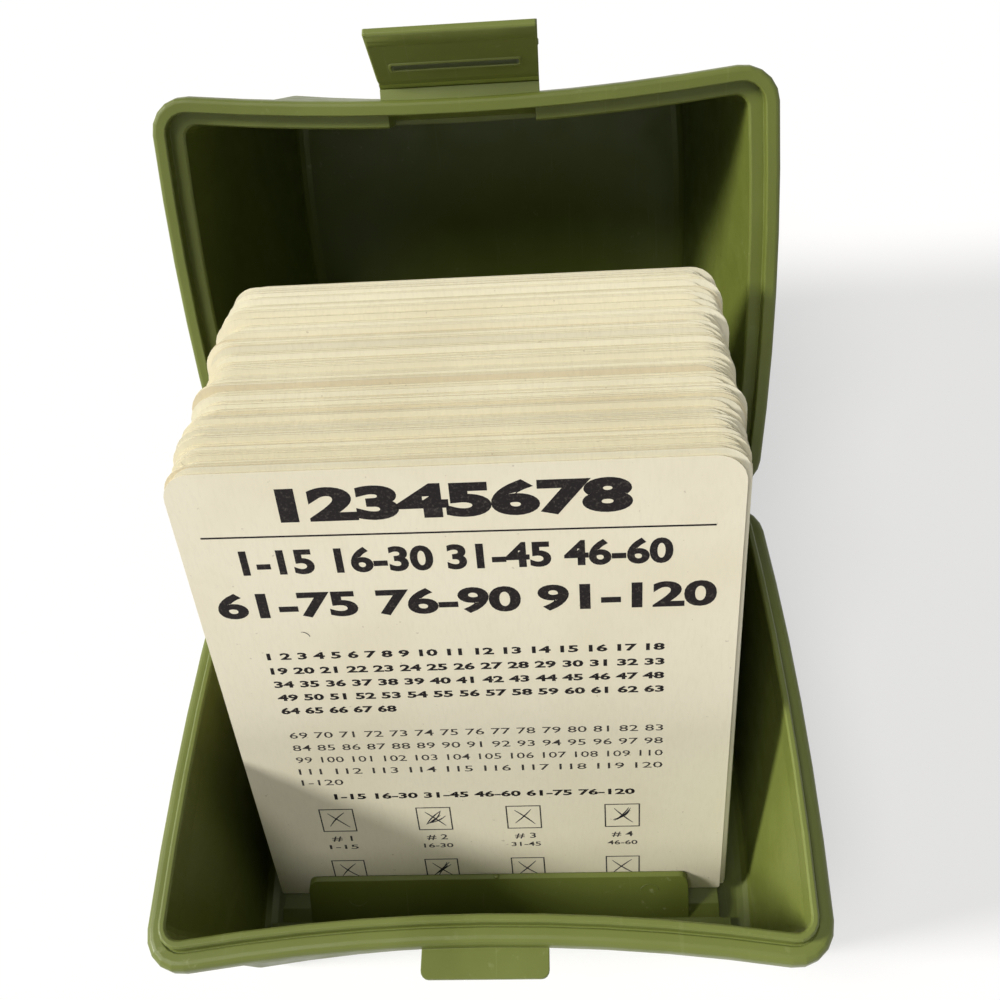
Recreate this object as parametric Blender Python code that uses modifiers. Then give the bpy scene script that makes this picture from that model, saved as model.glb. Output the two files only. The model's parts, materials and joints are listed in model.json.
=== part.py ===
"""A hinged plastic recipe box, open, with a set of filing cards leaning on the card rest inside it.

World +X is to the right, +Y to the back and +Z up. The origin is the middle of the base's underside.
Shell profiles are lists of (inset, height): inset is measured inwards from the flange's outer edge.
"""
import math

import bmesh
import bpy
from mathutils import Matrix, Vector

MM = 0.001

# The box: outside of the flange, from corner to corner
BOX_WIDTH = 133.0 * MM
BOX_DEPTH = 99.5 * MM
BASE_HEIGHT = 54.0 * MM
LID_HEIGHT = 80.0 * MM
WALL = 2.0 * MM
BASE_FRONT_BOW = 3.9 * MM
LID_FRONT_BOW = 3.2 * MM
SIDE_BOW = 1.5 * MM
CORNER_RADIUS = 8.0 * MM
LEAST_CORNER_RADIUS = 3.0 * MM
FLOOR_RADIUS = 5.0 * MM
BASE_DRAFT = math.radians(5.1)
LID_DRAFT = math.radians(4.0)
OPEN_ANGLE = math.radians(117.0)

# The base's rim: a rounded flange, a groove and the lip that the lid closes over
BASE_WALL_INSET = 2.9 * MM
FLANGE_HEIGHT = 4.3 * MM
FLANGE_TOP_RADIUS = 1.6 * MM
FLANGE_FOOT_RADIUS = 0.8 * MM
LIP_HEIGHT = 2.7 * MM
LIP_INSET = 3.4 * MM
LIP_EDGE = 0.35 * MM
GROOVE_DEPTH = 0.3 * MM
GROOVE_WIDTH = 0.5 * MM

# The lid's rim: a flat mouth face and, inside it, the recess that takes the base's lip
PARTING_GAP = 0.3 * MM
LID_WALL_INSET = 4.1 * MM
LID_FLANGE_HEIGHT = 3.6 * MM
LID_FLANGE_RADIUS = 1.0 * MM
LIP_CLEARANCE = 0.35 * MM
RECESS_EDGE = 0.25 * MM
LEDGE_SLOPE = 0.4 * MM

# The long hinge behind the box
HINGE_SETBACK = 2.0 * MM
HINGE_RISE = 0.85 * MM
HINGE_LENGTH = 96.0 * MM
HINGE_BEAD_RADIUS = 0.4 * MM
HINGE_GAP = 0.35 * MM
HINGE_ROOT_THICKNESS = 1.5 * MM
HINGE_TIP_THICKNESS = 0.6 * MM
HINGE_ROOT_DEPTH = 0.9 * MM

# The catch: a tongue on the base and a slotted flap on the lid
TONGUE_WIDTH = 24.6 * MM
TONGUE_REACH = 5.2 * MM
TONGUE_THICKNESS = 1.0 * MM
TONGUE_CORNER = 1.5 * MM
FLAP_SETBACK = 2.9 * MM
FLAP_WIDTH = 33.5 * MM
FLAP_FLARE_WIDTH = 34.1 * MM
FLAP_LENGTH = 16.4 * MM
FLAP_THICKNESS = 1.8 * MM
FLAP_TAPER_LENGTH = 2.6 * MM
FLAP_CORNER = 0.7 * MM
FLAP_OPEN_ANGLE = math.radians(45.0)
LATCH_BEAD_RADIUS = 0.3 * MM
LATCH_GAP = 0.35 * MM
LATCH_TIP_THICKNESS = 0.7 * MM
LUG_THICKNESS = 1.5 * MM
LUG_ROOT_DEPTH = 1.2 * MM
SLOT_SIDE_CLEARANCE = 0.85 * MM
SLOT_HEIGHT = 1.9 * MM
SLOT_CORNER = 0.8 * MM
SLOT_REACH = 6.5 * MM
RELIEF_SIDE_CLEARANCE = 1.05 * MM
RELIEF_LENGTH = 8.0 * MM
RELIEF_FOOT = 0.6 * MM
BOSS_LENGTH = 12.0 * MM
BOSS_INSET = 1.2 * MM

# The cards
CARD_WIDTH = 105.0 * MM
CARD_HEIGHT = 122.5 * MM
CARD_CORNER = 5.8 * MM
CARD_THICKNESS = 0.24 * MM
CARDS_IN_BUNDLE = 5
CARD_LEAN = math.radians(22.0)
REAR_CLEARANCE = 5.839513 * MM
CARD_CLOSED_LEAN = math.radians(11.0)
REAR_CLOSED_LEAN = math.radians(12.6)
BUNDLE_GAP = 0.18 * MM
CARD_SEAT_GAP = 0.35 * MM

# The card rest: a foot bar, a seat and the low plate that keeps the cards from sliding forwards
REST_SHIFT = -1.3 * MM
REST_FLOOR_GAP = 0.3 * MM
REST_FRONT_CLEARANCE = 1.4 * MM
FOOT_SIDE_CLEARANCE = 3.1 * MM
FOOT_DEPTH = 2.0 * MM
FOOT_THICKNESS = 1.2 * MM
FOOT_CHAMFER = 0.8 * MM
SEAT_INSET = 2.5 * MM
SEAT_THICKNESS = 2.0 * MM
SEAT_SLOPE_LENGTH = 2.9 * MM
SEAT_LENGTH = 47.0 * MM
PLATE_INSET = 7.2 * MM
PLATE_HEIGHT = 7.0 * MM
PLATE_TOP_THICKNESS = 1.1 * MM
PLATE_CORNER = 1.9 * MM
PLATE_CLEARANCE = 0.3 * MM
CARD_SETBACK = 8.1 * MM

# One overrun serves all cuts and joins
OVERRUN = 0.6 * MM

# How finely curves are faceted, in segments
CORNER_SEGMENTS = 5
FRONT_SEGMENTS = 10
SIDE_SEGMENTS = 6
FILLET_SEGMENTS = 3
BEAD_SEGMENTS = 12

# The bundles stand a little to the right of the front card. How far each one sits from their middle
# line, and above their lower edge, is a share of the play beside and above the cards, and how much
# more it leans than the one in front is a share of the whole fan
BUNDLE_SHIFT = 1.2 * MM
SIDE_PLAY = 1.6 * MM
HEIGHT_PLAY = 0.8 * MM
SIDE_SHARES = (
    -0.10, 0.15, 0.30, 0.05, -0.25, 0.10, 0.45, 0.60, 0.20, -0.15, 0.35, 0.10,
    0.55, 0.30, 0.05, -0.30, 0.20, 0.50, 0.15, -0.05, 0.25, 0.40, -0.10, 0.10,
)
HEIGHT_SHARES = (
    0.20, 0.45, 0.10, 0.60, 0.30, 0.75, 0.40, 0.15, 0.55, 0.85, 0.35, 0.65,
    0.25, 0.70, 0.95, 0.50, 0.80, 0.30, 0.60, 0.90, 0.45, 0.75, 0.55, 0.35,
)
LEAN_SHARES = (
    0.03, 0.07, 0.03, 0.03, 0.06, 0.03, 0.03, 0.04, 0.03, 0.07, 0.03, 0.05,
    0.03, 0.04, 0.06, 0.03, 0.03, 0.04, 0.06, 0.03, 0.04, 0.07, 0.03, 0.04,
)

HALF_WIDTH = BOX_WIDTH / 2
HALF_DEPTH = BOX_DEPTH / 2
SHOULDER_HEIGHT = BASE_HEIGHT - LIP_HEIGHT
PARTING_HEIGHT = SHOULDER_HEIGHT + PARTING_GAP
HINGE_Y = HALF_DEPTH + HINGE_SETBACK
HINGE_Z = SHOULDER_HEIGHT + HINGE_RISE
# The lid's heights are measured from the hinge axis, with the lid closed
MOUTH = PARTING_HEIGHT - HINGE_Z
RECESS_DEPTH = LIP_HEIGHT - PARTING_GAP + LIP_CLEARANCE
TONGUE_MIDDLE = SHOULDER_HEIGHT - FLANGE_HEIGHT + TONGUE_THICKNESS / 2
FLAP_PIVOT_HEIGHT = TONGUE_MIDDLE + SLOT_REACH
BUNDLE_THICKNESS = CARDS_IN_BUNDLE * CARD_THICKNESS


def clear_scene():
    for obj in list(bpy.data.objects):
        bpy.data.objects.remove(obj, do_unlink=True)


def new_collection(name):
    collection = bpy.data.collections.new(name)
    bpy.context.scene.collection.children.link(collection)
    return collection


def plain_material(name, colour, roughness):
    material = bpy.data.materials.new(name)
    material.use_nodes = True
    shader = material.node_tree.nodes["Principled BSDF"]
    shader.inputs["Base Color"].default_value = (*colour, 1.0)
    shader.inputs["Roughness"].default_value = roughness
    shader.inputs["Metallic"].default_value = 0.0
    material.diffuse_color = (*colour, 1.0)
    return material


def add_object(name, data, collection, material=None):
    obj = bpy.data.objects.new(name, data)
    collection.objects.link(obj)
    if material is not None and not data.materials:
        data.materials.append(material)
    return obj


def add_empty(name, collection, location=(0, 0, 0), turn=0.0, parent=None):
    """An empty on a joint's axis, turned about X."""
    empty = add_object(name, None, collection)
    empty.location = location
    empty.rotation_euler = (turn, 0, 0)
    empty.parent = parent
    return empty


def as_helper(obj):
    """A cutter or an added shape: it shapes its neighbour and isn't a piece itself."""
    obj.hide_render = True
    obj.display_type = "WIRE"
    return obj


def boolean(obj, other, operation):
    modifier = obj.modifiers.new(f"{operation.lower()} {other.name}", "BOOLEAN")
    modifier.operation = operation
    modifier.solver = "EXACT"
    modifier.object = other


def shade_smooth(mesh, sharp_angle=math.radians(35)):
    mesh.shade_smooth()
    mesh.set_sharp_from_angle(angle=sharp_angle)


def arc(centre, radius, start, end, segments):
    """Points on an arc between two angles in degrees, ends included."""
    points = []
    for i in range(segments + 1):
        angle = math.radians(start + (end - start) * i / segments)
        points.append((centre[0] + radius * math.cos(angle), centre[1] + radius * math.sin(angle)))
    return points


def bowed_edge(start, end, bow, direction, segments):
    """The inner points of a shallow parabola from start to end, which leaves the straight line by bow."""
    points = []
    for i in range(1, segments):
        share = i / segments
        rise = bow * 4 * share * (1 - share)
        points.append((
            start[0] + (end[0] - start[0]) * share + direction[0] * rise,
            start[1] + (end[1] - start[1]) * share + direction[1] * rise,
        ))
    return points


def box_outline(inset, front_bow):
    """The box seen from above, drawn in by inset: the front bows inwards, the sides a little outwards."""
    radius = max(CORNER_RADIUS - inset, LEAST_CORNER_RADIUS)
    x = HALF_WIDTH - inset - radius
    y = HALF_DEPTH - inset - radius
    front_tilt = math.degrees(math.atan(4 * front_bow / (2 * x)))
    side_tilt = math.degrees(math.atan(4 * SIDE_BOW / (2 * y)))
    front_left = arc((-x, -y), radius, 180 + side_tilt, 270 + front_tilt, CORNER_SEGMENTS)
    front_right = arc((x, -y), radius, 270 - front_tilt, 360 - side_tilt, CORNER_SEGMENTS)
    back_right = arc((x, y), radius, side_tilt, 90, CORNER_SEGMENTS)
    back_left = arc((-x, y), radius, 90, 180 - side_tilt, CORNER_SEGMENTS)
    front = bowed_edge(front_left[-1], front_right[0], front_bow, (0, 1), FRONT_SEGMENTS)
    right = bowed_edge(front_right[-1], back_right[0], SIDE_BOW, (1, 0), SIDE_SEGMENTS)
    left = bowed_edge(back_left[-1], front_left[0], SIDE_BOW, (-1, 0), SIDE_SEGMENTS)
    return front_left + front + front_right + right + back_right + back_left + left


def lofted_shell(name, profile, front_bow, collection, material, shift=(0, 0)):
    """Box outlines, each at its own inset and height, joined in order and closed at both ends."""
    sections = bmesh.new()
    rings = []
    for inset, height in profile:
        ring = []
        for x, y in box_outline(inset, front_bow):
            ring.append(sections.verts.new((x, y + shift[0], height + shift[1])))
        rings.append(ring)
    for lower, upper in zip(rings, rings[1:]):
        for i in range(len(lower)):
            j = (i + 1) % len(lower)
            sections.faces.new((lower[i], lower[j], upper[j], upper[i]))
    sections.faces.new(rings[0])
    sections.faces.new(rings[-1])
    bmesh.ops.recalc_face_normals(sections, faces=sections.faces)
    mesh = bpy.data.meshes.new(name)
    sections.to_mesh(mesh)
    sections.free()
    shade_smooth(mesh)
    return add_object(name, mesh, collection, material)


def outline_curve(name, points, thickness):
    """A flat outline in its own XY plane, filled and given its thickness along Z."""
    curve = bpy.data.curves.new(name, "CURVE")
    curve.dimensions = "2D"
    curve.fill_mode = "BOTH"
    curve.extrude = thickness / 2
    spline = curve.splines.new("POLY")
    spline.points.add(len(points) - 1)
    for point, (x, y) in zip(spline.points, points):
        point.co = (x, y, 0, 1)
    spline.use_cyclic_u = True
    return curve


def slab(name, points, thickness, collection, material=None):
    """The outline's solid as a mesh, which can be cut and joined."""
    curve = outline_curve(name, points, thickness)
    source = bpy.data.objects.new(name + " outline", curve)
    collection.objects.link(source)
    graph = bpy.context.evaluated_depsgraph_get()
    mesh = bpy.data.meshes.new_from_object(source.evaluated_get(graph))
    bpy.data.objects.remove(source)
    mesh.name = name
    solid = bmesh.new()
    solid.from_mesh(mesh)
    bmesh.ops.remove_doubles(solid, verts=solid.verts, dist=MM / 1000)
    bmesh.ops.recalc_face_normals(solid, faces=solid.faces)
    solid.to_mesh(mesh)
    solid.free()
    return add_object(name, mesh, collection, material)


def stand_across(obj):
    """Turns a slab whose outline is a side view (Y, Z), so that its thickness runs along X."""
    turn = Matrix(((0, 0, 1), (1, 0, 0), (0, 1, 0))).to_4x4()
    obj.data.transform(turn)


def rounded_rectangle(width, low, high, radius, segments, round_foot=True):
    """Corner points of an upright rectangle between two heights, its foot square if asked."""
    x = width / 2
    foot = [(-x, low), (x, low)]
    if round_foot:
        foot = arc((-x + radius, low + radius), radius, 180, 270, segments)
        foot += arc((x - radius, low + radius), radius, 270, 360, segments)
    head = arc((x - radius, high - radius), radius, 0, 90, segments)
    head += arc((-x + radius, high - radius), radius, 90, 180, segments)
    return foot + head


def tapered_strip(root, root_thickness, tip_distance, tip_thickness):
    """The side view of a strip that thins from its root towards an axis at (0, 0)."""
    reach = math.hypot(*root)
    along = Vector(root) / reach
    across = Vector((-along.y, along.x))
    tip = along * tip_distance
    corners = (
        Vector(root) + across * root_thickness / 2,
        tip + across * tip_thickness / 2,
        tip - across * tip_thickness / 2,
        Vector(root) - across * root_thickness / 2,
    )
    return [tuple(corner) for corner in corners]


def bead(name, radius, length, collection, material):
    """A round bead along X."""
    solid = bmesh.new()
    bmesh.ops.create_cone(
        solid, cap_ends=True, segments=BEAD_SEGMENTS, radius1=radius, radius2=radius, depth=length,
        matrix=Matrix.Rotation(math.pi / 2, 4, "Y"),
    )
    mesh = bpy.data.meshes.new(name)
    solid.to_mesh(mesh)
    solid.free()
    shade_smooth(mesh)
    return add_object(name, mesh, collection, material)


def fillet_pair(inset, height, draft, outer_radius):
    """The outer and the inner fillet between a flat floor and a drafted wall, with one centre."""
    tangent = 180 + math.degrees(draft)
    centre = (inset + outer_radius, height + outer_radius)
    outer = arc(centre, outer_radius, 270, tangent, FILLET_SEGMENTS)
    inner = arc(centre, outer_radius - WALL, tangent, 270, FILLET_SEGMENTS)
    return outer, inner


def base_wall_inset(height):
    """How far the base's outer wall lies inside the flange's edge at a height."""
    return BASE_WALL_INSET + (SHOULDER_HEIGHT - FLANGE_HEIGHT - height) * math.tan(BASE_DRAFT)


def base_profile():
    """From the middle of the underside out, up the wall, over the rim and down to the floor."""
    outer, inner = fillet_pair(base_wall_inset(FLOOR_RADIUS), 0, BASE_DRAFT, FLOOR_RADIUS)
    flange_foot = SHOULDER_HEIGHT - FLANGE_HEIGHT
    foot_round = arc(
        (FLANGE_FOOT_RADIUS, flange_foot + FLANGE_FOOT_RADIUS),
        FLANGE_FOOT_RADIUS, 270, 180, FILLET_SEGMENTS - 1,
    )
    top_round = arc(
        (FLANGE_TOP_RADIUS, SHOULDER_HEIGHT - FLANGE_TOP_RADIUS),
        FLANGE_TOP_RADIUS, 180, 90, FILLET_SEGMENTS + 1,
    )
    groove_foot = SHOULDER_HEIGHT - GROOVE_DEPTH
    inner_top = BASE_WALL_INSET + WALL
    rim = [
        (LIP_INSET - GROOVE_WIDTH, SHOULDER_HEIGHT),
        (LIP_INSET - GROOVE_WIDTH / 2, groove_foot),
        (LIP_INSET, SHOULDER_HEIGHT),
        (LIP_INSET, BASE_HEIGHT - LIP_EDGE),
        (LIP_INSET + LIP_EDGE, BASE_HEIGHT),
        (inner_top - LIP_EDGE, BASE_HEIGHT),
        (inner_top, BASE_HEIGHT - LIP_EDGE),
        (inner_top, flange_foot),
    ]
    return outer + [(BASE_WALL_INSET, flange_foot)] + foot_round + top_round + rim + inner


def lid_wall_inset(height):
    """How far the lid's outer wall lies inside the flange's edge, at a height above the mouth."""
    return LID_WALL_INSET + (height - LID_FLANGE_HEIGHT) * math.tan(LID_DRAFT)


def lid_profile():
    """From the middle of the lid's outside out, down the wall, round the rim and up to the panel."""
    crown_centre = LID_HEIGHT - FLOOR_RADIUS
    outer, inner = fillet_pair(lid_wall_inset(crown_centre), 0, LID_DRAFT, FLOOR_RADIUS)
    outer = [(inset, LID_HEIGHT - height) for inset, height in outer]
    inner = [(inset, LID_HEIGHT - height) for inset, height in inner]
    back_round = arc(
        (LID_FLANGE_RADIUS, LID_FLANGE_HEIGHT - LID_FLANGE_RADIUS),
        LID_FLANGE_RADIUS, 90, 180, FILLET_SEGMENTS,
    )
    front_round = arc(
        (LID_FLANGE_RADIUS, LID_FLANGE_RADIUS), LID_FLANGE_RADIUS, 180, 270, FILLET_SEGMENTS,
    )
    recess_wall = LIP_INSET - LIP_CLEARANCE
    ledge_edge = LID_WALL_INSET + WALL
    rim = [
        (recess_wall - RECESS_EDGE, 0),
        (recess_wall, RECESS_EDGE),
        (recess_wall, RECESS_DEPTH),
        (ledge_edge - LEDGE_SLOPE, RECESS_DEPTH),
        (ledge_edge, RECESS_DEPTH + LEDGE_SLOPE),
        (ledge_edge, LID_FLANGE_HEIGHT),
    ]
    profile = outer + [(LID_WALL_INSET, LID_FLANGE_HEIGHT)] + back_round + front_round + rim + inner
    return [(inset, height + MOUTH) for inset, height in profile]


def base_tub(collection, helpers, material):
    tub = lofted_shell("base_tub", base_profile(), BASE_FRONT_BOW, collection, material)
    front = -HALF_DEPTH + BASE_FRONT_BOW
    root = front + (BASE_WALL_INSET + LIP_INSET) / 2
    tongue = slab(
        "tongue",
        rounded_rectangle(
            TONGUE_WIDTH, front - TONGUE_REACH, root, TONGUE_CORNER, FILLET_SEGMENTS + 1,
        ),
        TONGUE_THICKNESS, helpers,
    )
    tongue.location = (0, 0, TONGUE_MIDDLE)
    boolean(tub, as_helper(tongue), "UNION")
    reach = HINGE_SETBACK + HINGE_ROOT_DEPTH
    strip = slab(
        "base hinge strip",
        tapered_strip(
            (-reach, -reach), HINGE_ROOT_THICKNESS,
            HINGE_BEAD_RADIUS + HINGE_GAP, HINGE_TIP_THICKNESS,
        ),
        HINGE_LENGTH, helpers,
    )
    stand_across(strip)
    strip.location = (0, HINGE_Y, HINGE_Z)
    boolean(tub, as_helper(strip), "UNION")
    return tub


def lid_shell(collection, helpers, material, hinge):
    lid = lofted_shell("lid_shell", lid_profile(), LID_FRONT_BOW, collection, material, (-HINGE_Y, 0))
    lid.parent = hinge
    reach = HINGE_SETBACK + HINGE_ROOT_DEPTH
    strip = slab(
        "lid hinge strip",
        tapered_strip(
            (-reach, MOUTH + LID_FLANGE_HEIGHT / 2), HINGE_ROOT_THICKNESS,
            HINGE_BEAD_RADIUS + HINGE_GAP, HINGE_TIP_THICKNESS,
        ),
        HINGE_LENGTH, helpers,
    )
    stand_across(strip)
    strip.parent = hinge
    boolean(lid, as_helper(strip), "UNION")
    pivot = flap_pivot()
    lug = slab(
        "latch lug",
        tapered_strip(
            (FLAP_SETBACK + LUG_ROOT_DEPTH, MOUTH + LID_FLANGE_HEIGHT / 2 - pivot[1]), LUG_THICKNESS,
            LATCH_BEAD_RADIUS + LATCH_GAP, LATCH_TIP_THICKNESS,
        ),
        FLAP_WIDTH, helpers,
    )
    stand_across(lug)
    lug.parent = hinge
    lug.location = (0, *pivot)
    boolean(lid, as_helper(lug), "UNION")
    front = -HALF_DEPTH + LID_FRONT_BOW
    # The boss starts between the recess and the flange's back, clear of the base's lip
    boss_start = (RECESS_DEPTH + LID_FLANGE_HEIGHT) / 2
    boss_end = LID_FLANGE_HEIGHT + BOSS_LENGTH
    boss = slab(
        "latch boss",
        [
            (front + BOSS_INSET, boss_start),
            (front + LID_WALL_INSET + WALL / 2, boss_start),
            (front + lid_wall_inset(boss_end) + WALL / 2, boss_end),
            (front + BOSS_INSET, LID_FLANGE_HEIGHT + BOSS_LENGTH / 2),
        ],
        FLAP_WIDTH, helpers,
    )
    stand_across(boss)
    boss.parent = hinge
    boss.location = (0, -HINGE_Y, MOUTH)
    boolean(lid, as_helper(boss), "UNION")
    recess_wall = front + LIP_INSET - LIP_CLEARANCE
    deep_wall = front + LID_WALL_INSET + WALL
    relief_end = LID_FLANGE_HEIGHT + RELIEF_LENGTH
    relief = slab(
        "ledge relief",
        [
            (recess_wall, -OVERRUN),
            (deep_wall + WALL, -OVERRUN),
            (deep_wall + WALL, relief_end),
            (deep_wall - RELIEF_FOOT, relief_end),
            (recess_wall, LID_FLANGE_HEIGHT),
        ],
        FLAP_WIDTH - 2 * RELIEF_SIDE_CLEARANCE, helpers,
    )
    stand_across(relief)
    relief.parent = hinge
    relief.location = (0, -HINGE_Y, MOUTH)
    boolean(lid, as_helper(relief), "DIFFERENCE")
    return lid


def flap_pivot():
    """The flap's fold, as (Y, Z) from the lid's hinge with the lid closed."""
    return -HALF_DEPTH + LID_FRONT_BOW - FLAP_SETBACK - HINGE_Y, FLAP_PIVOT_HEIGHT - HINGE_Z


def latch_flap(collection, helpers, material, fold):
    """The flap hangs down from its fold in its own frame, with the slot for the tongue."""
    tip = LATCH_BEAD_RADIUS + LATCH_GAP
    half = FLAP_THICKNESS / 2
    side_view = [
        (-LATCH_TIP_THICKNESS / 2, -tip),
        (LATCH_TIP_THICKNESS / 2, -tip),
        (half, -FLAP_TAPER_LENGTH),
        (half, -FLAP_LENGTH),
        (-half, -FLAP_LENGTH),
        (-half, -FLAP_TAPER_LENGTH),
    ]
    flap = slab("latch_flap", side_view, FLAP_WIDTH, collection, material)
    stand_across(flap)
    flare = FLAP_FLARE_WIDTH / FLAP_WIDTH - 1
    for vertex in flap.data.vertices:
        vertex.co.x *= 1 + flare * -vertex.co.z / FLAP_LENGTH
    flap.parent = fold
    slot_width = TONGUE_WIDTH + 2 * SLOT_SIDE_CLEARANCE
    slot = slab(
        "flap slot",
        rounded_rectangle(
            slot_width, -SLOT_REACH - SLOT_HEIGHT / 2, -SLOT_REACH + SLOT_HEIGHT / 2,
            SLOT_CORNER, FILLET_SEGMENTS,
        ),
        FLAP_THICKNESS + 2 * OVERRUN, helpers,
    )
    slot.rotation_euler = (math.pi / 2, 0, 0)
    slot.parent = fold
    boolean(flap, as_helper(slot), "DIFFERENCE")
    rounding = flap.modifiers.new("rounded edges", "BEVEL")
    rounding.width = FLAP_CORNER / 2
    rounding.segments = 1
    rounding.limit_method = "ANGLE"
    rounding.angle_limit = math.radians(60)
    return flap


def rest_front():
    """The foot bar's front: just behind the inside of the bowed front wall."""
    inner_wall = base_wall_inset(WALL + REST_FLOOR_GAP + FOOT_THICKNESS) + WALL
    return -HALF_DEPTH + inner_wall + BASE_FRONT_BOW + REST_FRONT_CLEARANCE


def seat_top():
    return WALL + REST_FLOOR_GAP + SEAT_THICKNESS


def card_level():
    """The height at which the cards stand."""
    return seat_top() + CARD_SEAT_GAP


def card_rest(collection, helpers, material):
    front = rest_front()
    floor = WALL + REST_FLOOR_GAP
    foot_top = floor + FOOT_THICKNESS
    foot_back = front + FOOT_DEPTH
    seat_front = foot_back + SEAT_SLOPE_LENGTH
    foot_width = 2 * (HALF_WIDTH - base_wall_inset(floor) - WALL - FOOT_SIDE_CLEARANCE)
    seat_width = foot_width - 2 * SEAT_INSET
    plate_width = seat_width - 2 * PLATE_INSET
    seat = slab(
        "card_rest",
        [
            (front + FOOT_DEPTH / 2, floor),
            (seat_front + SEAT_LENGTH, floor),
            (seat_front + SEAT_LENGTH, seat_top()),
            (seat_front, seat_top()),
            (foot_back, foot_top - FOOT_CHAMFER / 4),
            (front + FOOT_DEPTH / 2, foot_top - FOOT_CHAMFER / 4),
        ],
        seat_width, collection, material,
    )
    stand_across(seat)
    seat.location = (REST_SHIFT, 0, 0)
    foot = slab(
        "foot bar",
        [
            (front + FOOT_CHAMFER, floor),
            (foot_back, floor),
            (foot_back, foot_top),
            (front, foot_top),
            (front, foot_top - FOOT_THICKNESS / 2),
        ],
        foot_width, helpers,
    )
    stand_across(foot)
    foot.location = (REST_SHIFT, 0, 0)
    boolean(seat, as_helper(foot), "UNION")
    # The plate's back runs along the front card, and its face slopes down to the foot bar
    plate_top = seat_top() + PLATE_HEIGHT
    seat_middle = seat_top() - SEAT_THICKNESS / 2
    back_at_top = plate_back(plate_top)
    plate = slab(
        "front plate",
        [
            (foot_back, foot_top - FOOT_THICKNESS / 2),
            (plate_back(seat_middle), seat_middle),
            (back_at_top, plate_top),
            (back_at_top - PLATE_TOP_THICKNESS, plate_top),
            (foot_back, foot_top - FOOT_CHAMFER / 4),
        ],
        plate_width, helpers,
    )
    stand_across(plate)
    plate.location = (REST_SHIFT, 0, 0)
    # Upright, and longer each way than the plate is deep, it rounds off the plate's upper corners
    depth = back_at_top - foot_back
    corners = slab(
        "plate corners",
        rounded_rectangle(
            plate_width, floor - OVERRUN, plate_top, PLATE_CORNER, FILLET_SEGMENTS + 1, False,
        ),
        2 * depth + OVERRUN, helpers,
    )
    corners.rotation_euler = (math.pi / 2, 0, 0)
    corners.location = (REST_SHIFT, foot_back + depth / 2, 0)
    boolean(plate, as_helper(corners), "INTERSECT")
    boolean(seat, as_helper(plate), "UNION")
    return seat


def plate_back(height):
    """The Y of the plate's back at a height: just in front of the leaning front card."""
    face = rest_front() + CARD_SETBACK + (height - card_level()) * math.tan(CARD_LEAN)
    return face - PLATE_CLEARANCE / math.cos(CARD_LEAN)


def card_outline():
    return rounded_rectangle(CARD_WIDTH, 0, CARD_HEIGHT, CARD_CORNER, CORNER_SEGMENTS)


def add_card_block(name, curve, thickness, collection, foot, lean, closed_lean, pivot_height, shift):
    """A block of cards whose lower back edge would pass through foot, as (Y, Z), without its shift.

    It turns about a line pivot_height above its foot. The foot is as high with the lid closed as with
    the lid open, but further back, so that line stands above the middle between the two.
    """
    travel = 2 * pivot_height * math.tan((lean - closed_lean) / 2)
    place = (REST_SHIFT, foot[0] + travel / 2, foot[1] + pivot_height)
    turn_axis = add_empty(name + " pivot", collection, place, -lean)
    block = add_object(name, curve, collection)
    block.parent = turn_axis
    stand = Matrix.Rotation(math.pi / 2, 4, "X") @ Matrix.Translation((0, 0, thickness / 2))
    leaning = Matrix.Rotation(-lean, 4, "X") @ Matrix.Translation((shift[0], 0, shift[1]))
    at_rest = Matrix.Translation((REST_SHIFT, *foot)) @ leaning @ stand
    axis_frame = Matrix.Translation(place) @ Matrix.Rotation(-lean, 4, "X")
    block.matrix_local = axis_frame.inverted() @ at_rest


def first_foot():
    """The Y of the front card's lower back edge."""
    return rest_front() + CARD_SETBACK + CARD_THICKNESS / math.cos(CARD_LEAN)


def rear_lean():
    """The last bundle's lean, with which it passes in front of the base's back rim.

    Its clearance there counts from where its foot would be if every bundle leaned like the front card.
    """
    foot_y = first_foot() + len(LEAN_SHARES) * (BUNDLE_THICKNESS + BUNDLE_GAP) / math.cos(CARD_LEAN)
    back_rim = HALF_DEPTH - BASE_WALL_INSET - WALL
    return math.atan((back_rim - REAR_CLEARANCE - foot_y) / (BASE_HEIGHT - card_level()))


def cards(collection, material):
    """The front card and the bundles behind it, which lean more and more towards the back.

    The front card turns about the plate's top edge, and the last bundle about its own foot.
    """
    level = card_level()
    lean = CARD_LEAN
    foot_y = first_foot()
    fan = rear_lean() - CARD_LEAN
    front_pivot = PLATE_HEIGHT - CARD_SEAT_GAP
    single = outline_curve("front card", card_outline(), CARD_THICKNESS)
    single.materials.append(material)
    add_card_block(
        "front_card", single, CARD_THICKNESS, collection, (foot_y, level),
        lean, CARD_CLOSED_LEAN, front_pivot, (0, 0),
    )
    bundle = outline_curve("bundle", card_outline(), BUNDLE_THICKNESS)
    bundle.materials.append(material)
    count = len(LEAN_SHARES)
    for i in range(count):
        next_lean = lean + fan * LEAN_SHARES[i] / sum(LEAN_SHARES)
        slice_thickness = BUNDLE_THICKNESS * math.cos(next_lean - lean)
        foot_y += (BUNDLE_GAP + slice_thickness) / math.cos(lean)
        lean = next_lean
        way = (i + 1) / count
        closed_lean = CARD_CLOSED_LEAN + (REAR_CLOSED_LEAN - CARD_CLOSED_LEAN) * way
        shift = (BUNDLE_SHIFT + SIDE_PLAY * SIDE_SHARES[i], HEIGHT_PLAY * HEIGHT_SHARES[i])
        add_card_block(
            f"cards_{i // 3 + 1}{'abc'[i % 3]}", bundle, BUNDLE_THICKNESS, collection,
            (foot_y, level), lean, closed_lean, front_pivot * (1 - way), shift,
        )


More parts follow.
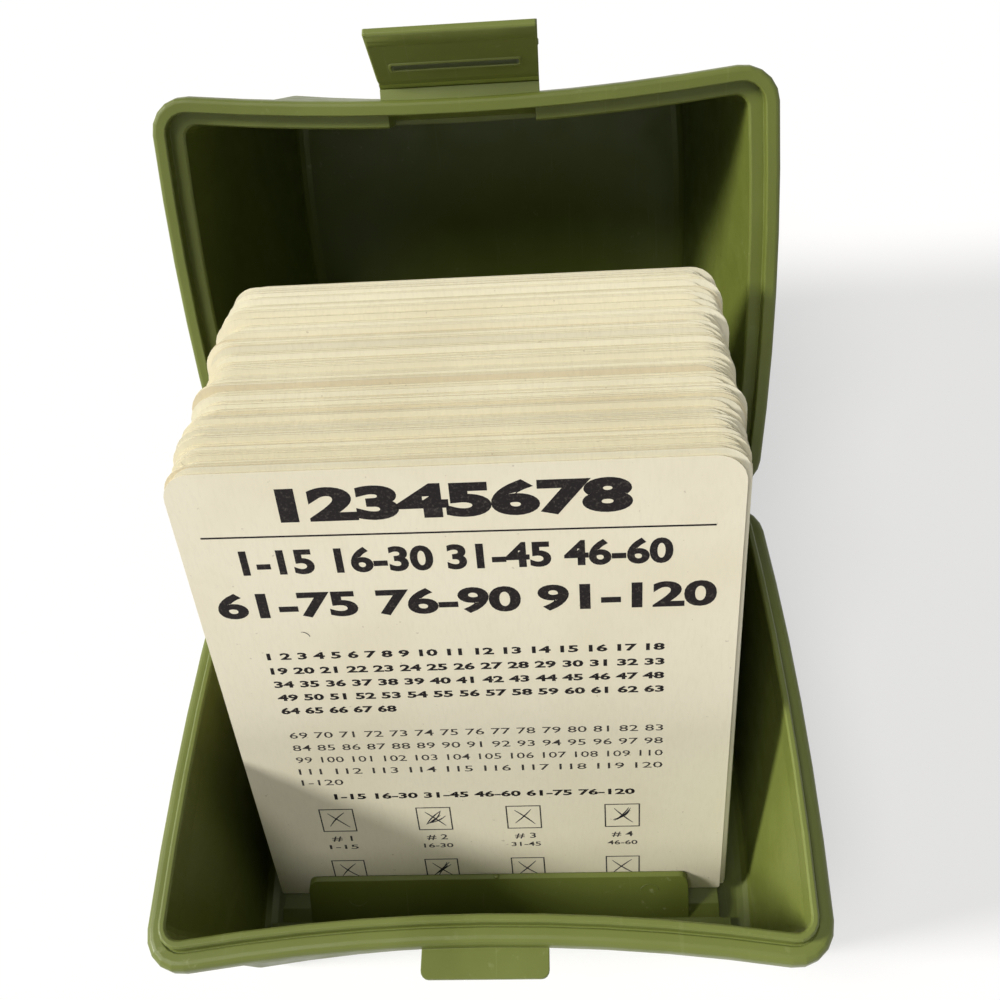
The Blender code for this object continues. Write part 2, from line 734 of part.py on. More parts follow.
def main():
    clear_scene()
    collection = new_collection("recipe box")
    helpers = new_collection("cutters")
    green = plain_material("moulded green", (0.118, 0.145, 0.036), 0.42)
    card = plain_material("card stock", (0.80, 0.76, 0.62), 0.85)
    base_tub(collection, helpers, green)
    hinge = add_empty("lid hinge axis", collection, (0, HINGE_Y, HINGE_Z), -OPEN_ANGLE)
    lid_shell(collection, helpers, green, hinge)
    hinge_web = bead("lid_hinge_web", HINGE_BEAD_RADIUS, HINGE_LENGTH, collection, green)
    hinge_web.location = (0, HINGE_Y, HINGE_Z)
    fold = add_empty("latch fold axis", collection, (0, *flap_pivot()), -FLAP_OPEN_ANGLE, hinge)
    latch_flap(collection, helpers, green, fold)
    latch_web = bead("latch_hinge_web", LATCH_BEAD_RADIUS, FLAP_WIDTH, collection, green)
    latch_web.parent = fold
    card_rest(collection, helpers, green)
    cards(collection, card)


main()
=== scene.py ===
"""Looks for the open recipe box: moulded olive plastic and a full set of filing cards."""
import json
import math
import random

import bmesh
import bpy
import numpy as np
from mathutils import Matrix, Vector


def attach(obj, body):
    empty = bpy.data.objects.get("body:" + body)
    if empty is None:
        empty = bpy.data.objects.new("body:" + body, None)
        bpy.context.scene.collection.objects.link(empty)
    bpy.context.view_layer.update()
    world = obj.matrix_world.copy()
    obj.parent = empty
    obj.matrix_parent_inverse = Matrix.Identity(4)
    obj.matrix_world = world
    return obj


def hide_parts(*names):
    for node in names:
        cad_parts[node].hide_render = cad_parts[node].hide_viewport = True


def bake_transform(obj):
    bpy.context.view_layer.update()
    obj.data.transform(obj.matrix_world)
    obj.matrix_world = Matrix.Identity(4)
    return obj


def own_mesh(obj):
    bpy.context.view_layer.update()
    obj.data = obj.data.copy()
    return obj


MM = 0.001

# The camera, from a fit to the photograph: place in metres, turns in degrees
CAMERA_PLACE = (0.02033, -0.07607, 0.25539)
CAMERA_PITCH = 51.79
CAMERA_YAW = -4.65
CAMERA_ROLL = 5.96
CAMERA_LENS = 34.2
CAMERA_SENSOR = 36
CAMERA_SHIFT = (-0.02165, -0.0965)
CAMERA_NEAREST = 1 * MM

# The lamps: the way to each, its strength and the angle that it fills, in degrees
LAMPS = {
    "key": ((-1.0, -0.15, 0.60), 3.9, 12.0),
    "top": ((-0.35, -0.42, 1.0), 1.1, 24.0),
}
LAMP_COLOUR = (1.0, 0.975, 0.94)
FILL_STRENGTH = 0.12

# The floor: its colour to the light, and the share of plain white in what a camera sees of it
WHITE = (1.0, 1.0, 1.0, 1)
FLOOR_COLOUR = (0.80, 0.80, 0.80, 1)
FLOOR_WHITE = 0.6
FLOOR_SIZE = 8.0

# The plastic: where it is thick, where it flowed thin, and where it is rubbed
PLASTIC_DEEP = (0.118, 0.142, 0.024)
PLASTIC_PLAIN = (0.152, 0.182, 0.038)
PLASTIC_CHALK = (0.29, 0.32, 0.14)
EDGE_ROUNDING = 0.30 * MM
SHARP_FROM = math.radians(35)

# The folding webs
WEB_STEPS = 10
WEB_GAP = 0.35 * MM

# The flap's end band, the lining of its slot and the nub of its gate
BAND_SIDE = 0.45 * MM
BAND_START = 0.40 * MM
BAND_WIDTH = 3.1 * MM
BAND_HEIGHT = 0.24 * MM
BAND_END_HEIGHT = 0.04 * MM
BAND_ROOT = 0.3 * MM
BAND_STEPS = 8
SLOT_OPENING = (26.0 * MM, 1.45 * MM)
SLOT_CORNER = 0.55 * MM
SLOT_FROM_FOLD = 6.5 * MM
# Each ring of the lining, in mm: how far outside the opening, and how high over the flap's face
SLOT_RINGS = ((0.0, -1.77), (0.0, 0.05), (0.14, 0.20), (0.42, 0.17), (0.62, 0.03), (0.66, -1.77))
NUB_FROM_FOLD = 10.8 * MM
NUB_RADIUS = 0.55 * MM
NUB_INSET = 0.22 * MM
# Each section of the nub, in mm: how high over the flap's face, and how far out it reaches
NUB_SECTIONS = ((-1.45, 0.12), (-1.30, 0.30), (-0.45, 0.30), (-0.30, 0.12))

# The card rest's marks: where each stands (X, Y) in metres, the arcs of the ejector rings in
# degrees, and each section of the gate's nub in mm, its radius and how high it stands
EJECTORS = {
    "right": ((0.0345, -0.0292), (20, 165)),
    "left": ((-0.0345, -0.0292), (200, 330)),
}
EJECTOR_RADIUS = 2.3 * MM
EJECTOR_HEIGHT = 0.07 * MM
EJECTOR_STEPS = 24
REST_GATE = (-0.0013, -0.0258)
REST_GATE_SECTIONS = ((0.75, -0.2), (0.72, 0.06), (0.55, 0.22), (0.30, 0.27))
REST_GATE_SQUEEZE = 0.75
REST_GATE_SIDES = 14

# The card stocks: tint, clouded tint and strength of the fibres
CARD_STOCKS = {
    "cream": ((0.86, 0.815, 0.62), (0.82, 0.77, 0.57), 1.0),
    "pale": ((0.88, 0.845, 0.67), (0.84, 0.80, 0.62), 1.0),
    "straw": ((0.82, 0.755, 0.54), (0.77, 0.70, 0.49), 1.0),
    "grey": ((0.81, 0.775, 0.61), (0.75, 0.71, 0.54), 1.0),
    "tan": ((0.78, 0.70, 0.50), (0.73, 0.65, 0.45), 1.0),
    # The cut edge is darker than the faces: partly yellowing of the cut, partly painted shade for
    # the dark lines between stacked cards
    "cut edge": ((0.75, 0.68, 0.47), (0.65, 0.575, 0.38), 1.6),
}
# By number in that list: the stock of the cut edges, darker partly from yellowing and partly as
# painted shade between the stacked cards, and those that the faces are drawn from
SHADED_CUT_EDGE = 5
USUAL_STOCKS = (0, 0, 0, 0, 1, 1, 1, 3)
ODD_STOCKS = (2, 4)
ODD_SHARE = 0.07

# The filing cards
CARDS_IN_BUNDLE = 5
CARD_SHEET = 0.20 * MM
CARD_CORNER = 5.8 * MM
CARD_FOOT_CORNER = 0.7 * MM
# How far a block's cards fan out: a share of the step to the next block's lean, and the most
FAN_SHARE = 0.82
FAN_MOST = math.radians(0.48)
# In mm: how far the stack is off the middle, how far that varies from block to block, how far a
# card strays to a side in the first and the last block, and how unevenly the cards stand
STACK_SHIFT = -0.55
BLOCK_DRIFT = 0.2
CARD_STRAY = (0.9, 1.9)
CARD_RISE = 0.12
CARD_RISE_MOST = 0.25
# How far a card is turned in its plane, in degrees
CARD_TIP = 0.05

# The front card's print, in mm: its lift over the face, and places from the lower left corner
PRINT_LIFT = 0.012
PEN_LIFT = 0.006
RULE = ((4.7, 108.0), (99.9, 107.3), (99.9, 107.7), (4.7, 108.4))
BOX_SIDE = 7.9
BOX_LINE = 0.30
BOX_ROWS = (23.0, 4.6)
BOX_COLUMNS = (13.8, 35.9, 56.2, 78.3)
BOX_RANGES = ("1-15", "16-30", "31-45", "46-60")
SCRIBBLED_BOXES = (1, 3, 5)
PEN_WIDTH = 0.34
STRAY_MARK = ((19.4, 84.4), (21.0, 83.1), 0.2)
STRAY_MARK_WIDTH = 0.22

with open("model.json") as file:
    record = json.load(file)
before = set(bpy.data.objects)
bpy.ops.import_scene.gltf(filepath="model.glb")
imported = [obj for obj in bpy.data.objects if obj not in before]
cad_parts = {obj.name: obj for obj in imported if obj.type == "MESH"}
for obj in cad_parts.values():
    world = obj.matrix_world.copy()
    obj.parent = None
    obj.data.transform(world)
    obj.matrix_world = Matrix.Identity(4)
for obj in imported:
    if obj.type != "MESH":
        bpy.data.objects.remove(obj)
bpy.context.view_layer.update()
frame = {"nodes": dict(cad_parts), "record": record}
nodes = frame["nodes"]


def link(obj):
    bpy.context.scene.collection.objects.link(obj)
    return obj


# Materials


class Shade:
    """A material's node tree, built a line at a time."""

    def __init__(self, name):
        self.material = bpy.data.materials.new(name)
        self.material.use_nodes = True
        self.tree = self.material.node_tree
        self.shader = self.tree.nodes["Principled BSDF"]
        place = self.tree.nodes.new("ShaderNodeTexCoord")
        self.place = place.outputs["Object"]

    def feed(self, socket, value):
        """A link where the value is another node's socket, and the plain value otherwise."""
        if isinstance(value, bpy.types.NodeSocket):
            self.tree.links.new(value, socket)
        else:
            socket.default_value = value

    def set(self, **values):
        for name, value in values.items():
            self.feed(self.shader.inputs[name.replace("_", " ")], value)

    def node(self, kind, inputs=(), **settings):
        made = self.tree.nodes.new("ShaderNode" + kind)
        for name, value in settings.items():
            setattr(made, name, value)
        for name, value in dict(inputs).items():
            self.feed(made.inputs[name], value)
        return made

    def noise(self, scale, detail=2.0, rough=0.5, stretch=(1, 1, 1), distort=0.0):
        spread = self.node("Mapping", {"Vector": self.place, "Scale": stretch})
        made = self.node("TexNoise", {
            "Vector": spread.outputs["Vector"], "Scale": scale, "Detail": detail,
            "Roughness": rough, "Distortion": distort,
        })
        return made.outputs["Fac"]

    def ramp(self, value, low, high, low_to=0.0, high_to=1.0):
        made = self.node("MapRange", {
            "Value": value, "From Min": low, "From Max": high,
            "To Min": low_to, "To Max": high_to,
        }, interpolation_type="SMOOTHSTEP")
        return made.outputs["Result"]

    def times(self, a, b):
        return self.node("Math", {0: a, 1: b}, operation="MULTIPLY").outputs["Value"]

    def mix(self, amount, a, b):
        """A colour mix. Its node has several sockets of each name, of which one is enabled."""
        made = self.node("Mix", data_type="RGBA")
        sockets = {socket.name: socket for socket in made.inputs if socket.enabled}
        for name, value in (("Factor", amount), ("A", a), ("B", b)):
            self.feed(sockets[name], value)
        return next(socket for socket in made.outputs if socket.enabled)

    def bump(self, height, strength, distance, normal=None):
        inputs = {"Height": height, "Strength": strength, "Distance": distance}
        if normal is not None:
            inputs["Normal"] = normal
        return self.node("Bump", inputs).outputs["Normal"]


def colour(rgb, lift=1.0):
    return (*(lift * part for part in rgb), 1.0)


def green_plastic(name, rub, lift=1.0):
    """Olive polypropylene: moulded grain, slow flow mottling, faint scratches, paler edges."""
    shade = Shade(name)
    chalk = colour(PLASTIC_CHALK)
    flow = shade.ramp(shade.noise(22.0, 3.0, 0.55, (1, 1, 0.45), 0.6), 0.32, 0.70)
    base = shade.mix(flow, colour(PLASTIC_DEEP, lift), colour(PLASTIC_PLAIN, lift))
    scuffs = shade.ramp(shade.noise(420.0, 4.0, 0.62), 0.60, 0.74)
    patches = shade.ramp(shade.noise(34.0, 2.0, 0.5), 0.50, 0.72)
    base = shade.mix(shade.times(shade.times(scuffs, patches), rub), base, chalk)
    scratches = shade.ramp(shade.noise(900.0, 1.0, 0.4, (1, 0.035, 0.05), 0.8), 0.68, 0.76)
    base = shade.mix(shade.times(scratches, 0.22 * rub), base, chalk)
    rounded = shade.node("Bevel", {"Radius": EDGE_ROUNDING}, samples=4)
    flat = shade.node("NewGeometry")
    bend = shade.node(
        "VectorMath", {0: rounded.outputs["Normal"], 1: flat.outputs["Normal"]},
        operation="DOT_PRODUCT",
    )
    edge = shade.ramp(bend.outputs["Value"], 0.72, 0.985, 0.55, 0.0)
    rough_edge = shade.ramp(shade.noise(260.0, 3.0, 0.6), 0.30, 0.70, 0.35, 1.0)
    base = shade.mix(shade.times(edge, rough_edge), base, chalk)
    grain = shade.noise(2600.0, 2.0, 0.5)
    swell = shade.noise(60.0, 2.0, 0.5)
    normal = shade.bump(swell, 0.30, 0.10 * MM, rounded.outputs["Normal"])
    normal = shade.bump(grain, 0.20, 0.05 * MM, normal)
    normal = shade.bump(scratches, 0.12, 0.03 * MM, normal)
    rough = shade.ramp(shade.noise(150.0, 3.0, 0.6), 0.3, 0.75, 0.36, 0.50)
    shade.set(
        Base_Color=base, Roughness=rough, Normal=normal, IOR=1.49, Specular_IOR_Level=0.36,
    )
    return shade.material


def card_stock(name, tint, clouded, fibre):
    """Uncoated card: warm tint, soft clouds of age, fibres and small specks."""
    shade = Shade(name)
    clouds = shade.ramp(shade.noise(28.0, 3.0, 0.6), 0.35, 0.75)
    base = shade.mix(clouds, colour(tint), colour(clouded))
    fibres = shade.ramp(shade.noise(1500.0, 3.0, 0.6, (1, 0.25, 0.25)), 0.42, 0.70)
    base = shade.mix(shade.times(fibres, 0.30 * fibre), base, colour(clouded, 0.90))
    specks = shade.ramp(shade.noise(750.0, 2.0, 0.5), 0.735, 0.77)
    base = shade.mix(shade.times(specks, 0.35), base, colour((0.34, 0.27, 0.17)))
    normal = shade.bump(shade.noise(1900.0, 3.0, 0.6), 0.22, 0.03 * MM)
    shade.set(Base_Color=base, Roughness=0.86, Normal=normal, Specular_IOR_Level=0.22)
    return shade.material


def ink(name, tint, gaps):
    """Printing ink that sinks unevenly into the card."""
    shade = Shade(name)
    thin = shade.ramp(shade.noise(1800.0, 3.0, 0.6), 0.50, 0.80, 0.0, gaps)
    base = shade.mix(thin, colour(tint), colour((0.40, 0.37, 0.30)))
    shade.set(Base_Color=base, Roughness=0.70, Specular_IOR_Level=0.20)
    return shade.material


# Mesh pieces


def add_mesh(name, build, materials, body, smooth=False):
    """A piece from a bmesh that build() fills, riding on a CAD body where one is given."""
    solid = bmesh.new()
    build(solid)
    mesh = bpy.data.meshes.new(name)
    solid.to_mesh(mesh)
    solid.free()
    if smooth:
        mesh.shade_smooth()
        mesh.set_sharp_from_angle(angle=SHARP_FROM)
    for material in materials:
        mesh.materials.append(material)
    piece = link(bpy.data.objects.new(name, mesh))
    if body is not None:
        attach(piece, body)
    return piece


def join_rings(solid, rings):
    """Walls of quads between each ring of vertices and the next."""
    walls = []
    for one, other in zip(rings, rings[1:]):
        for i in range(len(one)):
            j = (i + 1) % len(one)
            walls.append(solid.faces.new((one[i], one[j], other[j], other[i])))
    return walls


def swept(solid, place, sections):
    """Closed sections, each a list of points, joined in order with capped ends."""
    rings = [[solid.verts.new(place @ Vector(point)) for point in section] for section in sections]
    join_rings(solid, rings)
    solid.faces.new(rings[0])
    solid.faces.new(rings[-1])
    bmesh.ops.recalc_face_normals(solid, faces=solid.faces)


def rounded_outline(width, height, radius, foot, steps=7):
    """A rounded rectangle from (0, 0); foot is the radius of its two lower corners."""
    points = []
    for x, y, start, turn in (
        (foot, foot, 180, foot), (width - foot, foot, 270, foot),
        (width - radius, height - radius, 0, radius), (radius, height - radius, 90, radius),
    ):
        for i in range(steps + 1):
            angle = math.radians(start + 90 * i / steps)
            points.append((x + turn * math.cos(angle), y + turn * math.sin(angle)))
    return points


# The mouldings


def joint_place(name):
    for joint in frame["record"]["behaviour"]["joints"]:
        if joint["name"] == name:
            return Vector(joint["pos_m"])


def strip_end(node, axis):
    """From a joint's axis to the middle of the node's edge beside it, across the joint."""
    reach = Vector((0, 0, 0))
    count = 0
    for vertex in nodes[node].data.vertices:
        away = Vector((0, vertex.co.y - axis.y, vertex.co.z - axis.z))
        if away.length < 1.0 * MM:
            reach += away
            count += 1
    return reach / count


def folding_web(name, joint, before, after, thick, waist, material):
    """The thin web that joins two strips over a joint's axis, built where they stand at rest.

    waist is the thickness on the axis, as a share of that at the ends.
    """
    axis = joint_place(joint)
    half = max(vertex.co.x for vertex in nodes[name].data.vertices)
    ends = [strip_end(node, axis) for node in (before, after)]
    anchors = [end + end.normalized() * WEB_GAP for end in ends]

    def build(solid):
        sections = []
        for i in range(WEB_STEPS + 1):
            share = i / WEB_STEPS
            middle = anchors[0] * (1 - share) ** 2 + anchors[1] * share ** 2
            along = (anchors[1] * share - anchors[0] * (1 - share)).normalized()
            across = Vector((0, -along.z, along.y))
            wide = thick * (waist + (1 - waist) * abs(2 * share - 1))
            section = []
            for x, side in ((-half, -1), (half, -1), (half, 1), (-half, 1)):
                spot = axis + middle + across * side * wide / 2
                section.append((x, spot.y, spot.z))
            sections.append(section)
        swept(solid, Matrix(), sections)

    fold = name.replace("hinge_web", "fold")
    piece = add_mesh(fold, build, (material,), None, True)
    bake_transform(piece)
    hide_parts(name)


def flap_frame():
    """The flap at rest: X across, Y from its fold to its free end, Z out of its inner face.

    The matrix comes with the flap's half width, its length and the height of its inner face.
    """
    fold = joint_place("latch_hinge")
    points = [vertex.co for vertex in nodes["latch_flap"].data.vertices]
    middle = sum(points, Vector((0, 0, 0))) / len(points)
    along = Vector((0, middle.y - fold.y, middle.z - fold.z)).normalized()
    out = Vector((0, -along.z, along.y))
    place = Matrix((
        (1, 0, 0, 0), (0, along.y, out.y, fold.y), (0, along.z, out.z, fold.z), (0, 0, 0, 1),
    ))
    local = [place.inverted() @ point for point in points]
    return place, *(max(point[axis] for point in local) for axis in range(3))


def dress_flap(material):
    """The nub of the flap's gate, the swollen band along its free end and its slot's lining."""
    place, half, length, face = flap_frame()

    def nub(solid):
        sections = []
        for rise, reach in NUB_SECTIONS:
            section = []
            for angle in range(-90, 91, 20):
                turn = math.radians(angle)
                section.append((
                    half - NUB_INSET + reach * MM * math.cos(turn),
                    NUB_FROM_FOLD + NUB_RADIUS * math.sin(turn),
                    face + rise * MM,
                ))
            sections.append(section)
        swept(solid, place, sections)

    def band(solid):
        sections = []
        root = face - BAND_ROOT
        for share_x in (-1, -0.985, -0.5, 0, 0.5, 0.985, 1):
            x = share_x * (half - BAND_SIDE)
            high = BAND_END_HEIGHT if abs(share_x) == 1 else BAND_HEIGHT
            section = []
            for i in range(BAND_STEPS + 1):
                share = i / BAND_STEPS
                y = length - BAND_START - BAND_WIDTH * share
                section.append((x, y, face + high * math.sin(math.pi * share) ** 0.8))
            section.append((x, length - BAND_START - BAND_WIDTH, root))
            section.append((x, length - BAND_START, root))
            sections.append(section)
        swept(solid, place, sections)

    def lip(solid):
        wide, high = SLOT_OPENING
        rings = []
        for grow, rise in SLOT_RINGS:
            ring = []
            for x, y in rounded_outline(wide, high, SLOT_CORNER, SLOT_CORNER):
                spot = Vector((
                    (x - wide / 2) * (1 + 2 * grow * MM / wide),
                    SLOT_FROM_FOLD + (y - high / 2) * (1 + 2 * grow * MM / high),
                    face + rise * MM,
                ))
                ring.append(solid.verts.new(place @ spot))
            rings.append(ring)
        join_rings(solid, rings + rings[:1])
        bmesh.ops.recalc_face_normals(solid, faces=solid.faces)

    add_mesh("flap_gate_nub", nub, (material,), "latch", True)
    add_mesh("flap_end_band", band, (material,), "latch", True)
    add_mesh("flap_slot_lip", lip, (material,), "latch", True)


def spot_below(node, x, y):
    """A frame on the node's top surface under (x, y), whose Z is the normal there."""
    hit, point, normal, _ = nodes[node].ray_cast(Vector((x, y, 0.3)), Vector((0, 0, -1)))
    if not hit:
        raise ValueError(f"nothing of {node} under {x}, {y}")
    turn = normal.to_track_quat("Z", "Y").to_matrix().to_4x4()
    return Matrix.Translation(point) @ turn


def ring_mark(place, start, end):
    """Part of a low ejector ring, from one angle to another."""
    def build(solid):
        sections = []
        for i in range(EJECTOR_STEPS + 1):
            angle = math.radians(start + (end - start) * i / EJECTOR_STEPS)
            swell = math.sin(math.pi * (i + 0.5) / (EJECTOR_STEPS + 1))
            top = EJECTOR_HEIGHT * swell + 0.01 * MM
            foot = -0.05 * MM
            section = []
            for across, high in ((-0.14, foot), (-0.08, top), (0.08, top), (0.14, foot)):
                out = EJECTOR_RADIUS + across * MM
                section.append((out * math.cos(angle), out * math.sin(angle), high))
            sections.append(section)
        swept(solid, place, sections)
    return build


def gate_nub(place):
    """The low, slightly flattened nub where the card rest's gate was cut off."""
    def build(solid):
        sections = []
        for radius, rise in REST_GATE_SECTIONS:
            section = []
            for k in range(REST_GATE_SIDES):
                turn = math.tau * k / REST_GATE_SIDES
                section.append((
                    radius * MM * math.cos(turn),
                    radius * REST_GATE_SQUEEZE * MM * math.sin(turn),
                    rise * MM,
                ))
            sections.append(section)
        swept(solid, place, sections)
    return build


def moulding_marks(material):
    """Ejector rings and the gate's nub on the card rest."""
    builds = {
        "rest_ejector_" + side: ring_mark(spot_below("card_rest", *spot), *arc)
        for side, (spot, arc) in EJECTORS.items()
    }
    builds["rest_gate_nub"] = gate_nub(spot_below("card_rest", *REST_GATE))
    for name, build in builds.items():
        add_mesh(name, build, (material,), "base", True)


def paint(names, material):
    for name in names:
        node = nodes[name]
        node.data.materials.clear()
        node.data.materials.append(material)


def dress_mouldings():
    handled = green_plastic("green plastic, handled", 0.85)
    plain = green_plastic("green plastic", 0.45)
    stretched = green_plastic("green plastic, bent", 0.7, 1.25)
    # The latch's fold web is paler: partly stress whitening of the crease, partly a painted
    # highlight along the fold
    creased_and_highlit = green_plastic("green plastic, creased", 0.7, 1.7)
    paint(("base_tub", "lid_shell"), plain)
    paint(("card_rest", "latch_flap"), handled)
    folding_web(
        "lid_hinge_web", "lid_hinge", "base_tub", "lid_shell",
        0.50 * MM, 0.62, stretched,
    )
    folding_web(
        "latch_hinge_web", "latch_hinge", "lid_shell", "latch_flap",
        0.75 * MM, 1.1, creased_and_highlit,
    )
    dress_flap(handled)
    moulding_marks(handled)


# The cards


def card_frame(name):
    """Where a card block stands, X across, Y up the card and Z to the viewer, and its size."""
    mesh = nodes[name].data
    points = np.empty(len(mesh.vertices) * 3, np.float32)
    mesh.vertices.foreach_get("co", points)
    points = points.reshape(-1, 3).astype(float)
    middle = points.mean(axis=0)
    normal = np.linalg.svd(points - middle, full_matrices=False)[2][2]
    if normal[1] > 0:
        normal = -normal
    across = np.array((1.0, 0.0, 0.0))
    axes = (across, np.cross(normal, across), normal)
    low = [float((points @ axis).min()) for axis in axes]
    high = [float((points @ axis).max()) for axis in axes]
    origin = axes[0] * low[0] + axes[1] * low[1] + axes[2] * low[2]
    rows = [(*(axis[k] for axis in axes), origin[k]) for k in range(3)]
    return Matrix((*rows, (0, 0, 0, 1))), [high[i] - low[i] for i in range(3)]


def add_card(solid, place, size, low, thick, shift, tip, fan, tint, cut):
    """One card as a closed thin plate. tip turns it in its own plane, and fan leans its top back.

    tint and cut are the material slots of its faces and of its cut edge.
    """
    turn = Matrix.Rotation(tip, 4, "Z")
    lean = Matrix.Translation((0, 0, low)) @ Matrix.Rotation(-fan, 4, "X")
    rings = []
    for z in (0, thick):
        ring = []
        for x, y in rounded_outline(size[0], size[1], CARD_CORNER, CARD_FOOT_CORNER):
            flat = turn @ Vector((x - size[0] / 2, y, 0))
            spot = Vector((flat.x + size[0] / 2 + shift[0], flat.y + shift[1], z))
            ring.append(solid.verts.new(place @ lean @ spot))
        rings.append(ring)
    back = solid.faces.new(list(reversed(rings[0])))
    front = solid.faces.new(rings[1])
    back.material_index = front.material_index = tint
    for edge in join_rings(solid, rings):
        edge.material_index = cut


def lean_of(place):
    normal = place.col[2]
    return math.atan2(normal.z, -normal.y)


def stack_cards(stocks):
    """Five cards in each block's place, fanned towards the next block while the lid is open."""
    rng = random.Random(417)
    names = [f"{number}{letter}" for number in range(1, 9) for letter in "abc"]
    frames = [card_frame("cards_" + name) for name in names]
    for k, name in enumerate(names):
        place, size = frames[k]
        step = FAN_MOST
        if k + 1 < len(names):
            step = lean_of(frames[k + 1][0]) - lean_of(place)
        spread = min(FAN_SHARE * step, FAN_MOST)
        pitch = size[2] / CARDS_IN_BUNDLE
        drift = STACK_SHIFT + rng.uniform(-BLOCK_DRIFT, BLOCK_DRIFT)
        stray = CARD_STRAY[0] + (CARD_STRAY[1] - CARD_STRAY[0]) * k / (len(names) - 1)
        cards = []
        for i in range(CARDS_IN_BUNDLE):
            shift = (
                (drift + rng.uniform(-stray, stray)) * MM,
                max(-CARD_RISE_MOST, min(CARD_RISE_MOST, rng.gauss(0.0, CARD_RISE))) * MM,
            )
            tint = rng.choice(USUAL_STOCKS)
            if rng.random() < ODD_SHARE:
                tint = rng.choice(ODD_STOCKS)
            tip = math.radians(rng.gauss(0.0, CARD_TIP))
            low = i * pitch + (pitch - CARD_SHEET) / 2
            fan = spread * (CARDS_IN_BUNDLE - 1 - i) / (CARDS_IN_BUNDLE - 1)
            cards.append((low, CARD_SHEET, shift, tip, fan, tint))

        def build(solid, place=place, size=size, cards=cards):
            for card in cards:
                add_card(solid, place, size, *card, SHADED_CUT_EDGE)

        piece = add_mesh("stack_" + name, build, stocks, "bundle_" + name)
        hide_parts("cards_" + name)
        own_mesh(piece)


# The front card's print


def add_patch(solid, place, outline, z):
    """A flat printed shape on the card's face."""
    solid.faces.new([solid.verts.new(place @ Vector((x * MM, y * MM, z))) for x, y in outline])


def rectangle(x0, y0, x1, y1):
    return [(x0, y0), (x1, y0), (x1, y1), (x0, y1)]


def square_frame(x, y):
    """The four lines of a tick box whose lower left corner is at (x, y)."""
    line, side, inner = BOX_LINE, BOX_SIDE, BOX_SIDE - BOX_LINE
    return (
        rectangle(x, y, x + side, y + line), rectangle(x, y + inner, x + side, y + side),
        rectangle(x, y + line, x + line, y + inner),
        rectangle(x + inner, y + line, x + side, y + inner),
    )


def pen_width(width, count, i):
    """The width of a pen stroke of count points at point i, thinner at its ends."""
    return width * (0.35 + 0.65 * math.sin(math.pi * (i + 0.15) / (count - 0.7)))


def stroke(points, width):
    """The quads of a pen stroke through points."""
    quads = []
    for i, ((xa, ya), (xb, yb)) in enumerate(zip(points, points[1:])):
        length = math.hypot(xb - xa, yb - ya)
        across = (-(yb - ya) / length, (xb - xa) / length)
        wa = pen_width(width, len(points), i)
        wb = pen_width(width, len(points), i + 1)
        quads.append([
            (xa - across[0] * wa / 2, ya - across[1] * wa / 2),
            (xb - across[0] * wb / 2, yb - across[1] * wb / 2),
            (xb + across[0] * wb / 2, yb + across[1] * wb / 2),
            (xa + across[0] * wa / 2, ya + across[1] * wa / 2),
        ])
    return quads


def bent(start, end, sag, steps=6):
    """Points of a slightly curved pen stroke."""
    points = []
    for i in range(steps + 1):
        share = i / steps
        bow = sag * 4 * share * (1 - share)
        points.append((
            start[0] + (end[0] - start[0]) * share - (end[1] - start[1]) * bow,
            start[1] + (end[1] - start[1]) * share + (end[0] - start[0]) * bow,
        ))
    return points


def numerals(name, place, lift, material, text, height, start, end, base, weight, fine=3):
    """Plain numerals of a height, set from start to end across the card and laid on its face.

    weight thickens them, and fine is how closely their curves are followed.
    """
    curve = bpy.data.curves.new(name + " text", "FONT")
    curve.body = text
    curve.size = 1.4 * height * MM
    curve.offset = weight * MM
    curve.resolution_u = fine
    source = link(bpy.data.objects.new(name + " text", curve))
    graph = bpy.context.evaluated_depsgraph_get()
    mesh = bpy.data.meshes.new_from_object(source.evaluated_get(graph))
    bpy.data.objects.remove(source)
    xs = [vertex.co.x for vertex in mesh.vertices]
    ys = [vertex.co.y for vertex in mesh.vertices]
    wide = (end - start) * MM / (max(xs) - min(xs))
    tall = height * MM / (max(ys) - min(ys))
    for vertex in mesh.vertices:
        vertex.co = place @ Vector((
            start * MM + (vertex.co.x - min(xs)) * wide,
            base * MM + (vertex.co.y - min(ys)) * tall,
            lift,
        ))
    mesh.materials.clear()
    mesh.materials.append(material)
    piece = link(bpy.data.objects.new(name, mesh))
    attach(piece, "card_front")


def running(first, last):
    return " ".join(str(number) for number in range(first, last + 1))


def printed_lines(black, grey):
    """Each line's ink, and then what numerals() takes from its text on."""
    lines = [
        (black, "12345678", 8.0, 20.5, 84.8, 111.0, 0.62, 6),
        (black, "1-15 16-30 31-45 46-60", 6.1, 11.0, 92.2, 99.0, 0.30, 5),
        (black, "61-75 76-90 91-120", 6.6, 4.2, 100.6, 88.1, 0.34, 5),
    ]
    for first, last, end, base in (
        (1, 18, 91.0, 77.0), (19, 33, 91.0, 73.0), (34, 48, 91.0, 69.2), (49, 63, 91.0, 65.4),
        (64, 68, 35.7, 61.5),
    ):
        lines.append((black, running(first, last), 1.95, 11.3, end, base, 0.10, 2))
    for first, last, base in ((69, 83, 54.1), (84, 98, 50.2), (99, 110, 46.4), (111, 120, 42.6)):
        lines.append((grey, running(first, last), 1.85, 11.7, 91.0, base, 0.01, 2))
    lines.append((grey, "1-120", 1.85, 11.7, 21.0, 39.0, 0.01, 2))
    lines.append((
        black, "1-15 16-30 31-45 46-60 61-75 76-120", 1.95, 18.2, 85.1, 34.1, 0.09, 2,
    ))
    return lines


